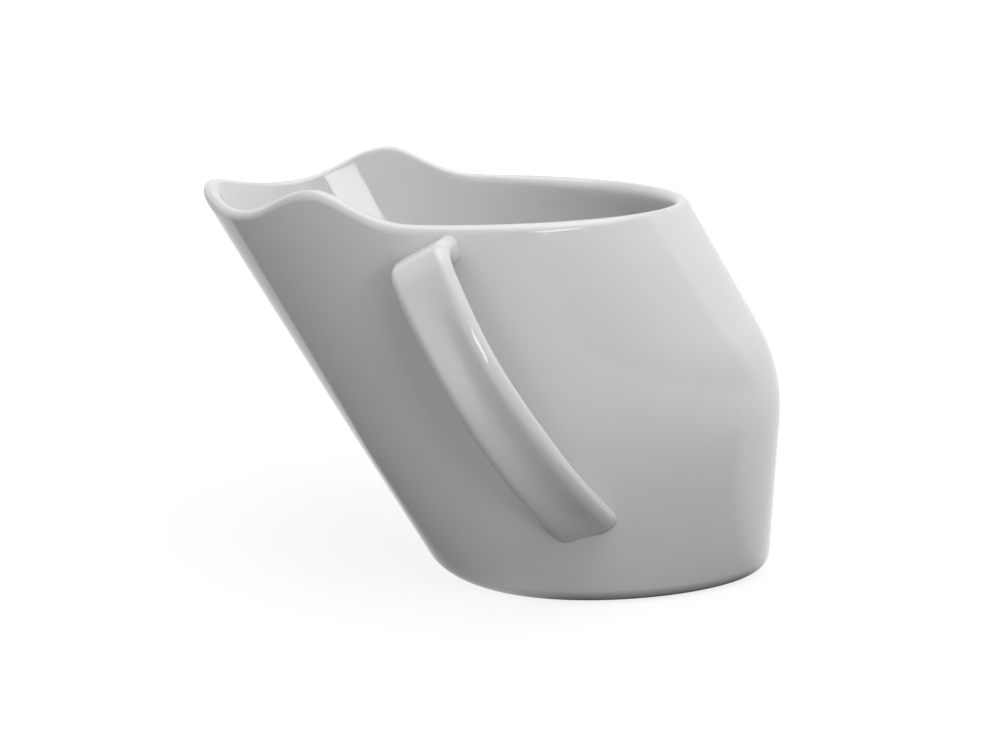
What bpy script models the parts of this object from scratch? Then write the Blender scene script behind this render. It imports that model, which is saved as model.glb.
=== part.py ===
# Slanted baby cup: a leaning shell with a wavy rim, and an arched strap handle on each side.
# +X is the upright back, -X the drinking lip, Y runs across the handles and Z is up.
# The origin is the middle of the flat base. Sizes are in millimetres and MM turns them into metres.
import math

import bpy
import numpy as np

MM = 0.001

# Body, outside
BASE_HALF_LENGTH = 36.5
BASE_HALF_WIDTH = 31.0
RIM_HALF_WIDTH = 33.0
RIM_HEIGHT = 78.0
FRONT_LEAN = math.radians(33.2)
FRONT_BOW = 0.7
BACK_DRAFT = math.radians(2.2)
BACK_LEAN = math.radians(31.1)
KNEE_HEIGHT = 43.8
KNEE_RADIUS = 36.2
BASE_EGG = -0.18
BASE_FILLET = 3.0

# Rim wave: a wing on each side, a small rise at the lip and a slope from back to front
WING_RISE = 6.5
WING_AT = 70.7
WING_TO_LIP = 18.9
WING_TO_BACK = 9.1
LIP_RISE = 3.2
LIP_SPREAD = 20.4
RIM_SLOPE = 1.26

# Shell, with a round rim that swells and curls under at the drinking lip
WALL = 2.3
FLOOR = 2.6
FLOOR_FILLET = 5.0
RIM_ROUND = 2.0
RIM_NECK = 1.0
LIP_PROUD = 0.6
LIP_CURL = math.radians(40.0)
LIP_FADES = (25.0, 55.0)

# Handles: the strap leaves the wall below the rim, arches out and comes back to the wall at its foot
STRAP_WIDTH = 12.8
STRAP_THICK = 4.4
STRAP_EDGE = 3.0
STRAP_HOLLOW = 0.62
HOLLOW_STARTS = (0.02, 0.35)
HOLLOW_ENDS = (0.9, 1.0)
STRAP_TOP = (-30.6, 72.1)
STRAP_FOOT = (1.6, 15.4)
SHOULDER_OUT = 9.6
SHOULDER_BEND = 6.0
SHOULDER_RISE = math.radians(16.0)
FOOT_SLOPE = math.radians(42.0)
ROOT_SUNK = 2.5
ROOT_FLARE = 0.4
FLARE_REACH = 2.5
SEAT_GAP = 0.3
LEG_CLEAR = 0.4
FOOT_EDGE = 0.3

# Look
SHADE = 0.7
ROUGHNESS = 0.14

# Mesh steps
AROUND = 72
WALL_ROWS = 12
FILLET_ROWS = 6
NECK_ROWS = 3
RIM_ROWS = 11
RIM_SOLVES = 8
PATH_STEPS = 300
STRAP_ROWS = 30
CORNER_STEPS = 4
FACE_STEPS = 6
TURN_STEP = 0.002
RISE_STEP = 0.02


def smooth_step(low, high, value):
    t = np.clip((value - low) / (high - low), 0.0, 1.0)
    return t * t * (3 - 2 * t)


def front_x(z):
    up = z / RIM_HEIGHT
    return -BASE_HALF_LENGTH - math.tan(FRONT_LEAN) * z - 4 * FRONT_BOW * up * (1 - up)


def back_x(z):
    """The back line: nearly upright, then an arc at the knee, then leaning forward to the rim."""
    tangent = KNEE_RADIUS * math.tan((BACK_DRAFT + BACK_LEAN) / 2)
    low = KNEE_HEIGHT - tangent * math.cos(BACK_DRAFT)
    high = KNEE_HEIGHT + tangent * math.cos(BACK_LEAN)
    upright = BASE_HALF_LENGTH + math.tan(BACK_DRAFT) * z
    knee_x = BASE_HALF_LENGTH + math.tan(BACK_DRAFT) * KNEE_HEIGHT
    leaning = knee_x - math.tan(BACK_LEAN) * (z - KNEE_HEIGHT)
    centre_x = BASE_HALF_LENGTH + math.tan(BACK_DRAFT) * low - KNEE_RADIUS * math.cos(BACK_DRAFT)
    centre_z = low + KNEE_RADIUS * math.sin(BACK_DRAFT)
    arc = centre_x + np.sqrt(np.maximum(KNEE_RADIUS**2 - (z - centre_z) ** 2, 0.0))
    return np.where(z < low, upright, np.where(z > high, leaning, arc))


def section(z):
    """Middle, half length, half width and egg share of the level section at z."""
    up = z / RIM_HEIGHT
    middle = (front_x(z) + back_x(z)) / 2
    half = (back_x(z) - front_x(z)) / 2
    width = BASE_HALF_WIDTH + (RIM_HALF_WIDTH - BASE_HALF_WIDTH) * up
    return middle, half, width, BASE_EGG * (1 - up)


def wall_point(turn, z, fillet=0.0, floor=0.0):
    """Outer wall at an angle, with its lower edge rounded in down to a floor level."""
    middle, half, width, egg = section(z)
    x = half * np.cos(turn)
    y = width * np.sin(turn) * (1 + egg * np.cos(turn))
    depth = np.clip(fillet + floor - z, 0.0, fillet)
    inset = fillet - np.sqrt(fillet**2 - depth**2)
    scale = 1 - inset / np.hypot(x, y)
    return np.stack(np.broadcast_arrays(middle + x * scale, y * scale, z), axis=-1)


def side_y(x, z):
    """Half width of the outer wall at a place on its side."""
    middle, half, width, egg = section(z)
    along = np.clip((x - middle) / half, -1.0, 1.0)
    return width * np.sqrt(1 - along**2) * (1 + egg * along)


def from_lip(turn):
    return np.abs(np.degrees(np.arctan2(np.sin(turn - math.pi), np.cos(turn - math.pi))))


def rim_height(turn):
    away = from_lip(turn)
    spread = np.where(away < WING_AT, WING_TO_LIP, WING_TO_BACK)
    wing = WING_RISE * np.exp(-(((away - WING_AT) / spread) ** 2))
    lip = LIP_RISE * np.exp(-((away / LIP_SPREAD) ** 2))
    return RIM_HEIGHT + RIM_SLOPE * np.cos(turn) + wing + lip


def wall_normal(turn, z):
    across = wall_point(turn + TURN_STEP, z) - wall_point(turn - TURN_STEP, z)
    upward = wall_point(turn, z + RISE_STEP) - wall_point(turn, z - RISE_STEP)
    normal = np.cross(across, upward)
    return normal / np.linalg.norm(normal, axis=-1, keepdims=True)


def rim_rows(turn):
    """The round rim: where it leaves the outer wall, its rings, and where it meets the inner wall.

    It rises upright from a wall that leans in, and at the drinking lip it swells and curls under.
    """
    upright = np.array((0.0, 0.0, 1.0))
    middle = rim_height(turn) - RIM_ROUND
    out = wall_normal(turn, middle)
    level = out * np.array((1.0, 1.0, 0.0))
    level /= np.linalg.norm(level, axis=-1, keepdims=True)
    slope = out[:, 2] / np.hypot(out[:, 0], out[:, 1])
    lip = 1 - smooth_step(*LIP_FADES, from_lip(turn))
    reach = 0 * turn + WALL / 2
    for _ in range(RIM_SOLVES):
        start = np.arctan(np.maximum(slope, 0.0) * RIM_ROUND / reach) - LIP_CURL * lip
        end = math.pi + np.arctan(slope * RIM_ROUND / reach)
        outer_top = middle + RIM_ROUND * np.sin(start)
        inner_top = middle + RIM_ROUND * np.sin(end) + WALL * out[:, 2]
        leaves = wall_point(turn, outer_top) + LIP_PROUD * lip[:, None] * level
        meets = wall_point(turn, inner_top) - WALL * wall_normal(turn, inner_top)
        reach = ((leaves - meets) * level).sum(axis=-1) / (np.cos(start) - np.cos(end))
    rings = []
    for share in np.linspace(0, 1, RIM_ROWS)[1:-1]:
        angle = start + share * (end - start)
        inward = reach * (np.cos(angle) - np.cos(start))
        rise = RIM_ROUND * (np.sin(angle) - np.sin(start))
        rings.append(leaves + inward[:, None] * level + rise[:, None] * upright)
    return outer_top, rings, inner_top


def body_rows():
    """Rings from the edge of the underside up the wall, over the round rim and down inside to the floor."""
    turn = np.linspace(0, 2 * math.pi, AROUND, endpoint=False)
    outer_top, rounded, inner_top = rim_rows(turn)
    quarter = np.linspace(0, math.pi / 2, FILLET_ROWS)[1:-1]
    rises = np.linspace(0, 1, WALL_ROWS)
    necks = np.linspace(0, 1, NECK_ROWS)[1:]

    def levels(low, fillet, top):
        rows = [low + fillet * (1 - math.cos(a)) + 0 * turn for a in quarter]
        rows += [low + fillet + k * (top - RIM_NECK - low - fillet) for k in rises]
        return rows + [top - RIM_NECK * (1 - k) for k in necks]

    def lining(z):
        return wall_point(turn, z, FLOOR_FILLET, FLOOR) - WALL * wall_normal(turn, z)

    outer = [wall_point(turn, 0 * turn, BASE_FILLET)]
    outer += [wall_point(turn, z, BASE_FILLET) for z in levels(0.0, BASE_FILLET, outer_top)]
    floor_edge = lining(0 * turn + FLOOR)
    floor_edge[:, 2] = FLOOR
    inner = [floor_edge]
    inner += [lining(z) for z in levels(FLOOR, FLOOR_FILLET, inner_top)]
    return outer + rounded + inner[::-1]


def tube_object(name, rows, material, inward=False):
    """A closed mesh from rings of the same count, with a fan to the middle of each end."""
    count = len(rows[0])
    points = np.concatenate(rows + [rows[0].mean(axis=0)[None], rows[-1].mean(axis=0)[None]])
    first, last = (len(rows) - 1) * count, len(points)
    faces = []
    for i in range(count):
        after = (i + 1) % count
        for r in range(len(rows) - 1):
            faces.append((r * count + i, r * count + after, (r + 1) * count + after, (r + 1) * count + i))
        faces.append((last - 2, after, i))
        faces.append((last - 1, first + i, first + after))
    if inward:
        faces = [face[::-1] for face in faces]
    mesh = bpy.data.meshes.new(name)
    mesh.from_pydata((points * MM).tolist(), [], faces)
    mesh.validate()
    mesh.polygons.foreach_set("use_smooth", [True] * len(mesh.polygons))
    mesh.materials.append(material)
    obj = bpy.data.objects.new(name, mesh)
    bpy.context.scene.collection.objects.link(obj)


def strap_path(length):
    """Places along the run of the strap and out from the middle plane, with directions."""
    root = np.array((0.0, side_y(*STRAP_TOP) - ROOT_SUNK))
    shoulder = np.array((0.0, side_y(*STRAP_TOP) + SHOULDER_OUT))
    foot = np.array((length, side_y(*STRAP_FOOT) - STRAP_THICK / 2))
    leaving = np.array((math.cos(SHOULDER_RISE), math.sin(SHOULDER_RISE)))
    landing = np.array((math.cos(FOOT_SLOPE), -math.sin(FOOT_SLOPE)))
    ahead, _ = np.linalg.solve(np.stack((leaving, landing), axis=1), foot - shoulder)
    belly = shoulder + ahead * leaving
    before = shoulder - np.array((0.0, SHOULDER_BEND))
    after = shoulder + SHOULDER_BEND * leaving
    t = np.linspace(0, 1, PATH_STEPS)[:, None]
    curves = ((root, (root + before) / 2, before), (before, shoulder, after), (after, belly, foot))
    dense = np.concatenate([(1 - t) ** 2 * a + 2 * t * (1 - t) * b + t**2 * c for a, b, c in curves])
    lengths = np.concatenate(([0], np.cumsum(np.linalg.norm(np.diff(dense, axis=0), axis=1))))
    even = np.linspace(0, lengths[-1], PATH_STEPS)
    places = np.stack([np.interp(even, lengths, dense[:, k]) for k in range(2)], axis=1)
    steps = np.gradient(places, axis=0)
    return places, steps / np.linalg.norm(steps, axis=1)[:, None]


def strap_section(hollow):
    """Rounded rectangle with a shallow hollow in its outer face, as across and through."""
    half = STRAP_THICK / 2
    reach = STRAP_WIDTH / 2 - STRAP_EDGE
    shape = []
    for side_a, first in ((1, 0), (-1, 90), (-1, 180), (1, 270)):
        for k in range(CORNER_STEPS + 1):
            angle = math.radians(first + 90 * k / CORNER_STEPS)
            shape.append((side_a * reach + STRAP_EDGE * math.cos(angle), half * math.sin(angle)))
        if first in (0, 180):
            for k in range(1, FACE_STEPS):
                across = side_a * reach * (1 - 2 * k / FACE_STEPS)
                shape.append((across, half if first == 0 else -half))
    shape = np.array(shape)
    turn = math.pi / 2 * shape[:, 0] / (STRAP_WIDTH / 2 - STRAP_EDGE / 2)
    dip = np.cos(np.clip(turn, -math.pi / 2, math.pi / 2)) ** 2
    shape[:, 1] -= np.where(shape[:, 1] > 0, hollow * dip * shape[:, 1] / half, 0.0)
    return shape


def strap_rows(side):
    """Rings of a strap, with both ends cut to the wall and a thin seat gap left there."""
    run = np.array(STRAP_FOOT) - np.array(STRAP_TOP)
    length = float(np.linalg.norm(run))
    down = run / length
    across = np.array((-down[1], 0.0, down[0]))
    rings, lowest, highest = [], [], []
    for (along, out), (step_along, step_out) in zip(*strap_path(length)):
        share = along / length
        x, z = np.array(STRAP_TOP) + along * down
        outward = np.array((-step_out * down[0], step_along, -step_out * down[1]))
        hollow = STRAP_HOLLOW * smooth_step(*HOLLOW_STARTS, share) * (1 - smooth_step(*HOLLOW_ENDS, share))
        flare = ROOT_FLARE * (1 - smooth_step(0.0, FLARE_REACH, out - side_y(x, z)))
        shape = strap_section(hollow) * (1 + 2 * flare / np.array((STRAP_WIDTH, STRAP_THICK)))
        ring = np.array((x, out, z)) + shape[:, :1] * across + shape[:, 1:] * outward
        seat = side_y(ring[:, 0], ring[:, 2]) + SEAT_GAP
        lowest.append((ring[:, 1] - seat).min())
        highest.append((ring[:, 1] - seat).max())
        ring[:, 1] = np.maximum(ring[:, 1], seat)
        rings.append(ring * np.array((1.0, side, 1.0)))
    clear = int(np.argmax(np.array(lowest) > LEG_CLEAR))
    end = int(np.nonzero(np.array(highest) > FOOT_EDGE)[0][-1])
    kept = np.linspace(clear, end, STRAP_ROWS).round().astype(int)
    return [rings[0]] + [rings[k] for k in kept]


def plastic(name):
    material = bpy.data.materials.new(name)
    material.use_nodes = True
    shader = material.node_tree.nodes["Principled BSDF"]
    shader.inputs["Base Color"].default_value = (SHADE, SHADE, SHADE, 1.0)
    shader.inputs["Roughness"].default_value = ROUGHNESS
    shader.inputs["Metallic"].default_value = 0.0
    return material


def main():
    for obj in list(bpy.data.objects):
        bpy.data.objects.remove(obj)
    tube_object("cup_body", body_rows(), plastic("cup_body_plastic"))
    tube_object("handle_right", strap_rows(-1), plastic("handle_right_plastic"))
    tube_object("handle_left", strap_rows(1), plastic("handle_left_plastic"), inward=True)


main()
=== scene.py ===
import math

import bpy
import numpy as np
from mathutils import Matrix, Quaternion, Vector


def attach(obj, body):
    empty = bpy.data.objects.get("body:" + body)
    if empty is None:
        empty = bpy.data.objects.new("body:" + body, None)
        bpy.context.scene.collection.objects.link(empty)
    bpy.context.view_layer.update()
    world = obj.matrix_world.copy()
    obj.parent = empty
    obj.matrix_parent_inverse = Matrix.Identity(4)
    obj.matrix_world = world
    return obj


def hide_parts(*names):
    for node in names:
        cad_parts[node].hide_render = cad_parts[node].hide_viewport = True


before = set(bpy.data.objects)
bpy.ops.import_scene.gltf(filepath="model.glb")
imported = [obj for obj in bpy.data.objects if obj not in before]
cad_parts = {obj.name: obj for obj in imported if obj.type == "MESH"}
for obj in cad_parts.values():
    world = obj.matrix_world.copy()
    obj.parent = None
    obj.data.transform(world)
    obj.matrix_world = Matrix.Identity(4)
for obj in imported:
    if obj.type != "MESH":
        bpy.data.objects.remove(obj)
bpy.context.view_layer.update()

MM = 0.001

# Body, outside
BASE_HALF_LENGTH = 36.5
BASE_HALF_WIDTH = 31.0
RIM_HALF_WIDTH = 33.0
RIM_HEIGHT = 78.0
FRONT_LEAN = math.radians(33.2)
FRONT_BOW = 0.7
BACK_DRAFT = math.radians(2.2)
BACK_LEAN = math.radians(31.1)
KNEE_HEIGHT = 43.8
KNEE_RADIUS = 36.2
BASE_EGG = -0.18
BASE_FILLET = 3.0

# Rim wave, with places and spreads in degrees round from the lip
WING_RISE = 6.5
WING_AT = 70.7
WING_TO_LIP = 18.9
WING_TO_BACK = 9.1
LIP_RISE = 3.5
LIP_SPREAD = 20.4
RIM_SLOPE = 1.26

# Shell, which swells inwards at the rim, with fades in degrees round from the lip
WALL = 2.3
FLOOR = 2.6
FLOOR_FILLET = 5.0
RIM_ROUND = 2.0
RIM_REACH = 1.5
RIM_NECK = 1.0
LIP_ROUND = 1.2
LIP_FLUSH = (10.0, 30.0)
RIM_SWELL = 0.15
LIP_SWELL = 0.65
LIP_FADES = (25.0, 55.0)
BACK_SWELL = 1.05
BACK_FADES = (75.0, 125.0)
SWELL_DEPTH = 18.0
BACK_SWELL_DEPTH = 6.0

# Handles, from a top to a foot on the wall, each as X and Z
STRAP_WIDTH = 12.8
STRAP_THICK = 4.4
STRAP_EDGE = 3.0
STRAP_TOP = (-30.6, 72.1)
STRAP_FOOT = (1.6, 15.4)
SHOULDER_OUT = 9.6
SHOULDER_BEND = 4.8
SHOULDER_RISE = math.radians(16.0)
SHOULDER_EDGE = 2.0
SHOULDER_FADES = (2.0, 14.0)
FOOT_SLOPE = math.radians(42.0)
ROOT_REACH = 6.0
ROOT_SUNK = 1.0
PATH_SOFTEN = 1.0
STRAP_HOLLOW = 0.75

# Handles, as shares of the thickness, of the width and of the way from top to foot
SHOULDER_RIDGE = 0.25
ROOT_FILLET = 0.6
ROOT_PART = 0.5
STRAP_WAIST = 0.07
WAIST_END = 0.65
HOLLOW_STARTS = (0.0, 0.3)
HOLLOW_ENDS = (0.9, 1.0)

# Mesh steps
AROUND = 384
WALL_ROWS = 72
FILLET_ROWS = 16
NECK_ROWS = 10
RIM_ROWS = 40
RIM_SOLVES = 24
DISC_SHARES = (0.04, 0.3, 0.6, 0.85, 1.0)
TURN_STEP = 0.002
RISE_STEP = 0.02
STRAP_ROWS = 220
CURVE_STEPS = 60
PATH_STEP = 0.05
SOFTEN_SPREADS = 3
CORNER_STEPS = 12
FACE_STEPS = 24

# Plastic
SHADES = (0.69, 0.71)
SHADE_NOISE = (45, 3)
ROUGHNESS = (0.05, 0.08)
ROUGHNESS_NOISE = (140, 4)
NOISE_SPAN = (0.3, 0.7)
SKIN_NOISE = (700, 2)
SKIN_STRENGTH = 0.06
SKIN_DEPTH = 0.0001
REFRACTION = 1.5

# Camera, as the photograph sees the cup
PHOTO_WIDTH_PX = 1000
FOCAL_PX = 2049.8
SENSOR_MM = 36.0
VIEW_AZIMUTH = math.radians(11.29)
VIEW_ELEVATION = math.radians(14.96)
VIEW_DISTANCE = 444.9
VIEW_TARGET = (-22.76, 0.0, 39.54)
CLIP_START = 0.01

# Room and backdrop: levels of white, and where they fade along a direction of length 1
ROOM_LEVEL = 0.48
ROOM_TOP = (0.2, 0.35)
ROOM_RIGHT = 0.1
ROOM_DIMS = (0.2, 0.6)
BACKDROP_LEVEL = 0.95
BACKDROP_TOP = (0.5, 0.65)
BACKDROP_TILT = 0.5
BACKDROP_EDGE = (0.25, 0.29)

# Floor: levels of white for the camera; for other rays a darker colour as painted shade and glow levels as
# painted light, with bearings from the front to the right and edges in metres from the cup
FLOOR_HALF = 20.0
FLOOR_COLOUR = 0.2
FLOOR_WHITE = (0.82, 1.0)
FLOOR_WHITENS = (0.15, 0.6)
# Painted shade: the floor's darker colour for all but camera rays, so that where no painted glow reaches,
# near the cup, the floor stands dark as the cup's shade
FLOOR_PAINTED_SHADE_COLOUR = 0.1
# Painted glow: how brightly the floor glows behind, beside, before and aside in the cup's gloss and bounce
# light, in place of a lit floor
PAINTED_GLOW_BEHIND = 0.97
BEHIND_TURN = math.radians(169.0)
BEHIND_EDGE = (-0.006, 0.01)
BESIDE_TURN = math.radians(141.0)
BESIDE_EDGE = (-0.044, -0.028)
BESIDE_RIGHT = (-0.03, 0.0)
PAINTED_GLOW_BEFORE = 0.14
BEFORE_TURN = math.radians(-60.0)
BEFORE_EDGE = (0.02, 0.05)
PAINTED_GLOW_ASIDE = 0.8
ASIDE_TURN = math.radians(50.0)
ASIDE_EDGE = (0.1, 0.15)

# Lamps, in metres and watts: name, place, width and height, power, and turn about the aim
LIGHT_AIM = (0.0, 0.0, 0.05)
LAMPS = (
    ("overhead", (0.0, 0.0, 0.9), (1.0, 1.0), 6.7, 0.0),
    ("main", (0.35, -0.38, 0.85), (0.9, 0.9), 3.0, 0.0),
    ("fill", (-0.49, -0.69, 0.59), (0.8, 0.5), 0.9, 0.0),
    ("key", (0.57, -0.82, 0.36), (0.4, 0.18), 1.65, math.radians(30.0)),
)


def smooth_step(low, high, value):
    t = np.clip((value - low) / (high - low), 0.0, 1.0)
    return t * t * (3 - 2 * t)


def front_x(z):
    up = z / RIM_HEIGHT
    return -BASE_HALF_LENGTH - math.tan(FRONT_LEAN) * z - 4 * FRONT_BOW * up * (1 - up)


def back_x(z):
    """The back line: nearly upright, then an arc at the knee, then leaning forward to the rim."""
    tangent = KNEE_RADIUS * math.tan((BACK_DRAFT + BACK_LEAN) / 2)
    low = KNEE_HEIGHT - tangent * math.cos(BACK_DRAFT)
    high = KNEE_HEIGHT + tangent * math.cos(BACK_LEAN)
    upright = BASE_HALF_LENGTH + math.tan(BACK_DRAFT) * z
    knee_x = BASE_HALF_LENGTH + math.tan(BACK_DRAFT) * KNEE_HEIGHT
    leaning = knee_x - math.tan(BACK_LEAN) * (z - KNEE_HEIGHT)
    centre_x = BASE_HALF_LENGTH + math.tan(BACK_DRAFT) * low - KNEE_RADIUS * math.cos(BACK_DRAFT)
    centre_z = low + KNEE_RADIUS * math.sin(BACK_DRAFT)
    arc = centre_x + np.sqrt(np.maximum(KNEE_RADIUS**2 - (z - centre_z) ** 2, 0.0))
    return np.where(z < low, upright, np.where(z > high, leaning, arc))


def section(z):
    """Middle, half length, half width and egg share of the level section at z."""
    up = z / RIM_HEIGHT
    middle = (front_x(z) + back_x(z)) / 2
    half = (back_x(z) - front_x(z)) / 2
    width = BASE_HALF_WIDTH + (RIM_HALF_WIDTH - BASE_HALF_WIDTH) * up
    return middle, half, width, BASE_EGG * (1 - up)


def wall_point(turn, z, fillet=0.0, floor=0.0):
    """Outer wall at an angle, with its lower edge rounded in down to a floor level."""
    middle, half, width, egg = section(z)
    x = half * np.cos(turn)
    y = width * np.sin(turn) * (1 + egg * np.cos(turn))
    depth = np.clip(fillet + floor - z, 0.0, fillet)
    inset = fillet - np.sqrt(fillet**2 - depth**2)
    scale = 1 - inset / np.hypot(x, y)
    return np.stack(np.broadcast_arrays(middle + x * scale, y * scale, z), axis=-1)


def side_y(x, z):
    """Half width of the outer wall at a place on its side."""
    middle, half, width, egg = section(z)
    along = np.clip((x - middle) / half, -1.0, 1.0)
    return width * np.sqrt(1 - along**2) * (1 + egg * along)


def from_lip(turn):
    """Degrees round from the lip, the same on both sides."""
    return np.abs(np.degrees(np.arctan2(np.sin(turn - math.pi), np.cos(turn - math.pi))))


def rim_height(turn):
    away = from_lip(turn)
    spread = np.where(away < WING_AT, WING_TO_LIP, WING_TO_BACK)
    wing = WING_RISE * np.exp(-(((away - WING_AT) / spread) ** 2))
    lip = LIP_RISE * np.exp(-((away / LIP_SPREAD) ** 2))
    return RIM_HEIGHT + RIM_SLOPE * np.cos(turn) + wing + lip


def wall_normal(turn, z):
    across = wall_point(turn + TURN_STEP, z) - wall_point(turn - TURN_STEP, z)
    upward = wall_point(turn, z + RISE_STEP) - wall_point(turn, z - RISE_STEP)
    normal = np.cross(across, upward)
    return normal / np.linalg.norm(normal, axis=-1, keepdims=True)


def lip_share(turn):
    return 1 - smooth_step(*LIP_FADES, from_lip(turn))


def back_share(turn):
    return smooth_step(*BACK_FADES, from_lip(turn))


def rim_swell(turn):
    return RIM_SWELL + LIP_SWELL * lip_share(turn) + BACK_SWELL * back_share(turn)


def rim_rows(turn):
    """The round rim: where it leaves the outer wall, its rings, and where it meets the inner wall.

    It rises upright from a wall that leans out, which leaves a crisp edge below the wings. At the tip of
    the drinking lip it runs on from the wall with a tighter round. How far it reaches inwards depends on
    where it meets the inner wall, so the two are solved together.
    """
    upright = np.array((0.0, 0.0, 1.0))
    flush = 1 - smooth_step(*LIP_FLUSH, from_lip(turn))
    tall = RIM_ROUND + (LIP_ROUND - RIM_ROUND) * flush
    outer_reach = RIM_REACH * tall / RIM_ROUND
    middle = rim_height(turn) - tall
    out = wall_normal(turn, middle)
    level = out * np.array((1.0, 1.0, 0.0))
    level /= np.linalg.norm(level, axis=-1, keepdims=True)
    slope = out[:, 2] / np.hypot(out[:, 0], out[:, 1])
    thick = WALL + rim_swell(turn)
    inner_reach = thick / 2
    for _ in range(RIM_SOLVES):
        start = np.arctan(np.where(slope > 0, slope, slope * flush) * tall / outer_reach)
        end = math.pi + np.arctan(slope * tall / inner_reach)
        outer_top = middle + tall * np.sin(start)
        inner_top = middle + tall * np.sin(end) + thick * out[:, 2]
        leaves = wall_point(turn, outer_top)
        meets = wall_point(turn, inner_top) - thick[:, None] * wall_normal(turn, inner_top)
        width = ((leaves - meets) * level).sum(axis=-1)
        inner_reach = (inner_reach + (width - outer_reach * np.cos(start)) / -np.cos(end)) / 2
    rings = []
    for share in np.linspace(0, 1, RIM_ROWS)[1:-1]:
        angle = start + share * (end - start)
        reach = np.where(np.cos(angle) > 0, outer_reach, inner_reach)
        inward = reach * np.cos(angle) - outer_reach * np.cos(start)
        rise = tall * (np.sin(angle) - np.sin(start))
        rings.append(leaves + inward[:, None] * level + rise[:, None] * upright)
    return outer_top, rings, inner_top


def shell_rows():
    """Rings from the middle of the underside up the wall, over the rim and down inside to the floor."""
    turn = np.linspace(0, 2 * math.pi, AROUND, endpoint=False)
    outer_top, rounded, inner_top = rim_rows(turn)
    quarter = np.linspace(0, math.pi / 2, FILLET_ROWS)[1:-1]
    rises = np.linspace(0, 1, WALL_ROWS)
    necks = np.linspace(0, 1, NECK_ROWS)[1:]

    def levels(low, fillet, top):
        rows = [low + fillet * (1 - math.cos(a)) + 0 * turn for a in quarter]
        rows += [low + fillet + k * (top - RIM_NECK - low - fillet) for k in rises]
        return rows + [top - RIM_NECK * (1 - k) for k in necks]

    def lining(z):
        depth = SWELL_DEPTH + (BACK_SWELL_DEPTH - SWELL_DEPTH) * back_share(turn)
        thick = WALL + rim_swell(turn) * smooth_step(inner_top - depth, inner_top, z)
        return wall_point(turn, z, FLOOR_FILLET, FLOOR) - thick[:, None] * wall_normal(turn, z)

    def disc(edge, height):
        edge = edge * np.array((1.0, 1.0, 0.0)) + np.array((0.0, 0.0, height))
        middle = edge.mean(axis=0)
        return [middle + share * (edge - middle) for share in DISC_SHARES]

    under = disc(wall_point(turn, 0 * turn, BASE_FILLET), 0.0)
    outer = [wall_point(turn, z, BASE_FILLET) for z in levels(0.0, BASE_FILLET, outer_top)]
    inner = [lining(z) for z in levels(FLOOR, FLOOR_FILLET, inner_top)]
    floor = disc(lining(0 * turn + FLOOR), FLOOR)
    return under + outer + rounded + inner[::-1] + floor[::-1]


def mesh_object(name, points, faces):
    mesh = bpy.data.meshes.new(name)
    mesh.from_pydata((np.asarray(points) * MM).tolist(), [], faces)
    mesh.polygons.foreach_set("use_smooth", [True] * len(mesh.polygons))
    obj = bpy.data.objects.new(name, mesh)
    bpy.context.scene.collection.objects.link(obj)
    return obj


def tube_object(name, rows, inward=False):
    """A closed mesh from rings of the same count, with its two ends filled."""
    count = len(rows[0])
    points = np.concatenate(rows)
    faces = []
    for r in range(len(rows) - 1):
        for i in range(count):
            after = (i + 1) % count
            faces.append((r * count + i, r * count + after, (r + 1) * count + after, (r + 1) * count + i))
    last = (len(rows) - 1) * count
    faces.append(tuple(range(count - 1, -1, -1)))
    faces.append(tuple(range(last, last + count)))
    if inward:
        faces = [face[::-1] for face in faces]
    return mesh_object(name, points, faces)


def soft_path(curves, count):
    """A chain of curves of three corners each in two dimensions, softened: places and directions."""
    t = np.linspace(0, 1, CURVE_STEPS)[:, None]
    arcs = [(1 - t) ** 2 * a + 2 * t * (1 - t) * b + t**2 * c for a, b, c in curves]
    dense = np.concatenate(arcs)
    lengths = np.concatenate(([0], np.cumsum(np.linalg.norm(np.diff(dense, axis=0), axis=1))))
    fine = np.arange(0, lengths[-1], PATH_STEP)
    places = np.stack([np.interp(fine, lengths, dense[:, k]) for k in range(2)], axis=1)
    reach = int(SOFTEN_SPREADS * PATH_SOFTEN / PATH_STEP)
    weights = np.exp(-0.5 * (np.arange(-reach, reach + 1) * PATH_STEP / PATH_SOFTEN) ** 2)
    weights /= weights.sum()
    head = 2 * places[0] - places[1 : reach + 1][::-1]
    tail = 2 * places[-1] - places[-reach - 1 : -1][::-1]
    padded = np.concatenate((head, places, tail))
    places = np.stack([np.convolve(padded[:, k], weights, mode="valid") for k in range(2)], axis=1)
    keep = np.linspace(0, len(places) - 1, count).astype(int)
    steps = np.gradient(places, axis=0)
    steps /= np.linalg.norm(steps, axis=1)[:, None]
    return places[keep], steps[keep]


def strap_section(hollow, edge):
    """A strap with a crisp front edge, a round back edge and a shallow hollow, as across and through."""
    half_width = STRAP_WIDTH / 2
    half_thick = STRAP_THICK / 2
    back_deep = min(edge, half_thick)
    front_deep = SHOULDER_EDGE

    def corner(side, reach, deep, middle, first):
        angles = np.radians(np.linspace(first, first + 90, CORNER_STEPS + 1))
        across = side * (half_width - reach) + reach * np.cos(angles)
        return np.stack((across, middle + deep * np.sin(angles)), axis=1)

    def face(start, end):
        shares = np.linspace(0, 1, FACE_STEPS + 1)[1:-1, None]
        return start + shares * (end - start)

    back = corner(1, edge, back_deep, half_thick - back_deep, 0)
    front = corner(-1, SHOULDER_EDGE, front_deep, half_thick - front_deep, 90)
    under_front = corner(-1, STRAP_EDGE, STRAP_THICK - front_deep, half_thick - front_deep, 180)
    under_back = corner(1, edge, STRAP_THICK - back_deep, half_thick - back_deep, 270)
    above = face(back[-1], front[0])
    below = face(under_front[-1], under_back[0])
    shape = np.concatenate((back, above, front, under_front, below, under_back))
    dip = np.cos(math.pi / 2 * np.clip(shape[:, 0] / (half_width - edge / 2), -1.0, 1.0)) ** 2
    shape[:, 1] -= np.where(shape[:, 1] > 0, hollow * dip * shape[:, 1] / half_thick, 0.0)
    return shape


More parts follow.
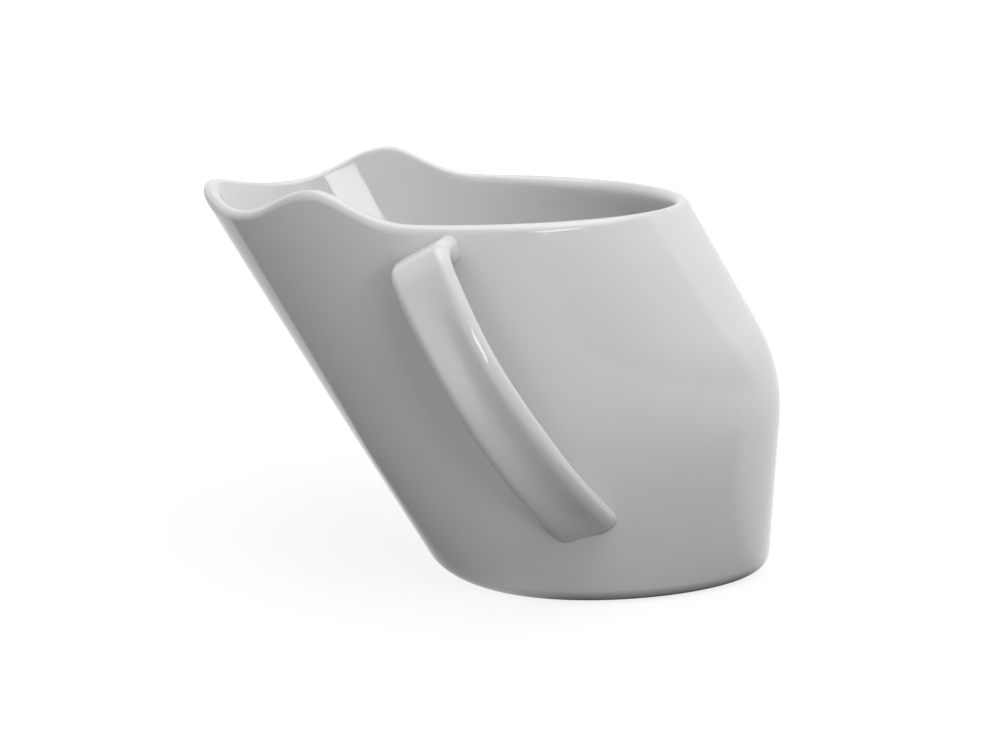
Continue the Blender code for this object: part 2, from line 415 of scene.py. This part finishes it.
def strap_shape(along, share, off_wall, lean):
    """The strap's section at a place, with its shoulder ridge, root fillet and waist."""
    hollow = STRAP_HOLLOW * smooth_step(*HOLLOW_STARTS, share) * (1 - smooth_step(*HOLLOW_ENDS, share))
    edge = SHOULDER_EDGE + (STRAP_EDGE - SHOULDER_EDGE) * smooth_step(*SHOULDER_FADES, along)
    shape = strap_section(hollow, edge)
    turned = (math.pi / 2 - lean) / (math.pi / 2 - SHOULDER_RISE)
    ridge = SHOULDER_RIDGE * math.sin(math.pi * min(max(turned, 0.0), 1.0)) ** 2
    rooted = (1 - smooth_step(0.0, ROOT_REACH, off_wall)) * (share < ROOT_PART)
    shape[:, 1] *= np.where(shape[:, 1] > 0, 1 + ridge, 1 + ROOT_FILLET * rooted)
    waist = STRAP_WAIST * math.sin(math.pi * min(share / WAIST_END, 1.0)) ** 2
    shape[:, 0] *= np.where(shape[:, 0] > 0, 1 - waist, 1.0)
    return shape


def strap_curves(length):
    """The strap's middle line, along its run and out from the cup's middle, as curves of three corners."""
    root = np.array((0.0, float(side_y(*STRAP_TOP)) - ROOT_SUNK))
    shoulder = root + np.array((0.0, ROOT_SUNK + SHOULDER_OUT))
    foot = np.array((length, float(side_y(*STRAP_FOOT)) - STRAP_THICK / 2))
    leaving = np.array((math.cos(SHOULDER_RISE), math.sin(SHOULDER_RISE)))
    landing = np.array((math.cos(FOOT_SLOPE), -math.sin(FOOT_SLOPE)))
    ahead = np.linalg.solve(np.stack((leaving, landing), axis=1), foot - shoulder)[0]
    belly = shoulder + ahead * leaving
    before = shoulder - np.array((0.0, SHOULDER_BEND))
    after = shoulder + SHOULDER_BEND * leaving
    return (root, (root + before) / 2, before), (before, shoulder, after), (after, belly, foot)


def strap_rows(side):
    """Rings of a strap that leaves the wall below the rim, arcs out and comes back to it at its foot."""
    run = np.array(STRAP_FOOT) - np.array(STRAP_TOP)
    length = float(np.linalg.norm(run))
    down = run / length
    across = np.array((-down[1], 0.0, down[0]))
    wall = float(side_y(*STRAP_TOP))
    rows = []
    for (along, out), (step_along, step_out) in zip(*soft_path(strap_curves(length), STRAP_ROWS)):
        share = min(max(along / length, 0.0), 1.0)
        x, z = np.array(STRAP_TOP) + along * down
        outward = np.array((-step_out * down[0], step_along, -step_out * down[1]))
        shape = strap_shape(along, share, out - wall, math.atan2(step_out, step_along))
        ring = np.array((x, out, z)) + shape[:, :1] * across + shape[:, 1:] * outward
        ring[:, 1] = np.maximum(ring[:, 1], side_y(ring[:, 0], ring[:, 2]) - ROOT_SUNK)
        rows.append(ring * np.array((1.0, side, 1.0)))
    return rows


def plastic():
    """Glossy light grey moulded plastic: faint cloudiness, uneven gloss and a fine orange-peel skin."""
    material = bpy.data.materials.new("cup_plastic")
    material.use_nodes = True
    nodes, links = material.node_tree.nodes, material.node_tree.links
    shader = nodes["Principled BSDF"]
    place = nodes.new("ShaderNodeTexCoord")

    def noise(scale, detail):
        node = nodes.new("ShaderNodeTexNoise")
        node.inputs["Scale"].default_value = scale
        node.inputs["Detail"].default_value = detail
        links.new(place.outputs["Object"], node.inputs["Vector"])
        return node.outputs["Fac"]

    def ramp(source, levels):
        node = nodes.new("ShaderNodeValToRGB")
        for element, position, level in zip(node.color_ramp.elements, NOISE_SPAN, levels):
            element.position = position
            element.color = (level, level, level, 1)
        links.new(source, node.inputs["Fac"])
        return node.outputs["Color"]

    links.new(ramp(noise(*SHADE_NOISE), SHADES), shader.inputs["Base Color"])
    links.new(ramp(noise(*ROUGHNESS_NOISE), ROUGHNESS), shader.inputs["Roughness"])
    bump = nodes.new("ShaderNodeBump")
    bump.inputs["Strength"].default_value = SKIN_STRENGTH
    bump.inputs["Distance"].default_value = SKIN_DEPTH
    links.new(noise(*SKIN_NOISE), bump.inputs["Height"])
    links.new(bump.outputs["Normal"], shader.inputs["Normal"])
    shader.inputs["IOR"].default_value = REFRACTION
    return material


def smooth_range(tree, source, edge, levels):
    node = tree.nodes.new("ShaderNodeMapRange")
    node.interpolation_type = "SMOOTHSTEP"
    node.inputs["From Min"].default_value = edge[0]
    node.inputs["From Max"].default_value = edge[1]
    node.inputs["To Min"].default_value = levels[0]
    node.inputs["To Max"].default_value = levels[1]
    tree.links.new(source, node.inputs["Value"])
    return node.outputs["Result"]


def combine(tree, operation, first, second):
    node = tree.nodes.new("ShaderNodeMath")
    node.operation = operation
    for socket, value in zip(node.inputs, (first, second)):
        if isinstance(value, float):
            socket.default_value = value
        else:
            tree.links.new(value, socket)
    return node.outputs[0]


def axes_of(tree, output):
    place = tree.nodes.new("ShaderNodeTexCoord")
    axes = tree.nodes.new("ShaderNodeSeparateXYZ")
    tree.links.new(place.outputs[output], axes.inputs["Vector"])
    return axes.outputs


def reach_towards(tree, place, turn):
    """How far a place lies towards a bearing, turned from the front to the right."""
    right = combine(tree, "MULTIPLY", place["X"], math.sin(turn))
    front = combine(tree, "MULTIPLY", place["Y"], -math.cos(turn))
    return combine(tree, "ADD", right, front)


def white_world():
    """A white backdrop behind the cup and a dimmer room before it, darkest on the right.

    Past the floor the camera sees white.
    """
    world = bpy.data.worlds.new("studio")
    bpy.context.scene.world = world
    world.use_nodes = True
    tree = world.node_tree
    tree.nodes.clear()
    way = axes_of(tree, "Generated")
    room = smooth_range(tree, way["Z"], ROOM_TOP, (ROOM_LEVEL, 0.0))
    room = combine(tree, "MULTIPLY", room, smooth_range(tree, way["X"], ROOM_DIMS, (1.0, ROOM_RIGHT)))
    backdrop = smooth_range(tree, way["Z"], BACKDROP_TOP, (BACKDROP_LEVEL, 0.0))
    leaned = combine(tree, "ADD", way["Y"], combine(tree, "MULTIPLY", way["Z"], BACKDROP_TILT))
    behind = smooth_range(tree, leaned, BACKDROP_EDGE, (0.0, 1.0))
    walls = combine(tree, "MAXIMUM", room, combine(tree, "MULTIPLY", backdrop, behind))
    path = tree.nodes.new("ShaderNodeLightPath")
    mix = tree.nodes.new("ShaderNodeMix")
    tree.links.new(path.outputs["Is Camera Ray"], mix.inputs["Factor"])
    tree.links.new(walls, mix.inputs["A"])
    mix.inputs["B"].default_value = 1.0
    background = tree.nodes.new("ShaderNodeBackground")
    background.inputs["Color"].default_value = (1, 1, 1, 1)
    tree.links.new(mix.outputs["Result"], background.inputs["Strength"])
    out = tree.nodes.new("ShaderNodeOutputWorld")
    tree.links.new(background.outputs["Background"], out.inputs["Surface"])


def diffuse_and_glow(tree, colour, glow):
    diffuse = tree.nodes.new("ShaderNodeBsdfDiffuse")
    diffuse.inputs["Color"].default_value = (colour, colour, colour, 1)
    emission = tree.nodes.new("ShaderNodeEmission")
    tree.links.new(glow, emission.inputs["Strength"])
    both = tree.nodes.new("ShaderNodeAddShader")
    tree.links.new(diffuse.outputs[0], both.inputs[0])
    tree.links.new(emission.outputs[0], both.inputs[1])
    return both.outputs[0]


def white_floor():
    """A wide plain floor, for the camera white with a soft shadow.

    In the cup's gloss and in the light it throws back on the cup, it has a darker colour as painted shade
    and a painted glow: bright behind, beside and away to the right, dim before the cup.
    """
    mesh = bpy.data.meshes.new("floor")
    corners = ((-1, -1), (1, -1), (1, 1), (-1, 1))
    mesh.from_pydata([(FLOOR_HALF * x, FLOOR_HALF * y, 0) for x, y in corners], [], [(0, 1, 2, 3)])
    floor = bpy.data.objects.new("floor", mesh)
    bpy.context.scene.collection.objects.link(floor)
    material = bpy.data.materials.new("white_floor")
    material.use_nodes = True
    tree = material.node_tree
    tree.nodes.clear()
    place = axes_of(tree, "Object")

    def glow(turn, edge, level):
        return smooth_range(tree, reach_towards(tree, place, turn), edge, (0.0, level))

    # Painted glow on the floor: bright behind, beside and to the right, faint before the cup, none close
    # in front of it
    painted_glow = glow(BEHIND_TURN, BEHIND_EDGE, PAINTED_GLOW_BEHIND)
    beside = glow(BESIDE_TURN, BESIDE_EDGE, PAINTED_GLOW_BEHIND)
    beside = combine(tree, "MULTIPLY", beside, smooth_range(tree, place["X"], BESIDE_RIGHT, (1.0, 0.0)))
    before = glow(BEFORE_TURN, BEFORE_EDGE, PAINTED_GLOW_BEFORE)
    aside = glow(ASIDE_TURN, ASIDE_EDGE, PAINTED_GLOW_ASIDE)
    for area in (beside, before, aside):
        painted_glow = combine(tree, "MAXIMUM", painted_glow, area)
    squares = [combine(tree, "MULTIPLY", place[axis], place[axis]) for axis in ("X", "Y")]
    far = combine(tree, "SQRT", combine(tree, "ADD", *squares), 0.0)
    white = smooth_range(tree, far, FLOOR_WHITENS, FLOOR_WHITE)
    path = tree.nodes.new("ShaderNodeLightPath")
    mix = tree.nodes.new("ShaderNodeMixShader")
    tree.links.new(path.outputs["Is Camera Ray"], mix.inputs["Fac"])
    # For all but camera rays: the darker floor colour as painted shade plus the painted glow; camera rays
    # get the white floor below
    tree.links.new(diffuse_and_glow(tree, FLOOR_PAINTED_SHADE_COLOUR, painted_glow), mix.inputs[1])
    tree.links.new(diffuse_and_glow(tree, FLOOR_COLOUR, white), mix.inputs[2])
    out = tree.nodes.new("ShaderNodeOutputMaterial")
    tree.links.new(mix.outputs[0], out.inputs["Surface"])
    mesh.materials.append(material)


def softbox(name, place, size, power, turn):
    light = bpy.data.lights.new(name, "AREA")
    light.shape = "RECTANGLE"
    light.size, light.size_y = size
    light.energy = power
    obj = bpy.data.objects.new(name, light)
    obj.location = place
    aimed = (Vector(LIGHT_AIM) - Vector(place)).to_track_quat("-Z", "Y")
    obj.rotation_euler = (aimed @ Quaternion((0.0, 0.0, 1.0), turn)).to_euler()
    bpy.context.scene.collection.objects.link(obj)


def photo_camera():
    back = Vector((math.sin(VIEW_AZIMUTH), -math.cos(VIEW_AZIMUTH), math.tan(VIEW_ELEVATION))).normalized()
    right = Vector((math.cos(VIEW_AZIMUTH), math.sin(VIEW_AZIMUTH), 0.0))
    up = back.cross(right)
    data = bpy.data.cameras.new("camera")
    data.sensor_width = SENSOR_MM
    data.lens = FOCAL_PX * SENSOR_MM / PHOTO_WIDTH_PX
    data.clip_start = CLIP_START
    camera = bpy.data.objects.new("camera", data)
    place = Matrix.Translation((Vector(VIEW_TARGET) + VIEW_DISTANCE * back) * MM)
    camera.matrix_world = place @ Matrix((right, up, back)).transposed().to_4x4()
    bpy.context.scene.collection.objects.link(camera)
    bpy.context.scene.camera = camera


def dress(obj, node, material):
    obj.data.materials.append(material)
    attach(obj, "root")
    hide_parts(node)


def main():
    skin = plastic()
    shell = tube_object("cup_shell", shell_rows())
    dress(shell, "cup_body", skin)
    right = tube_object("strap_right", strap_rows(-1))
    dress(right, "handle_right", skin)
    left = tube_object("strap_left", strap_rows(1), inward=True)
    dress(left, "handle_left", skin)

    white_world()
    white_floor()
    for lamp in LAMPS:
        softbox(*lamp)
    photo_camera()

    scene = bpy.context.scene
    scene.view_settings.view_transform = "Standard"


main()
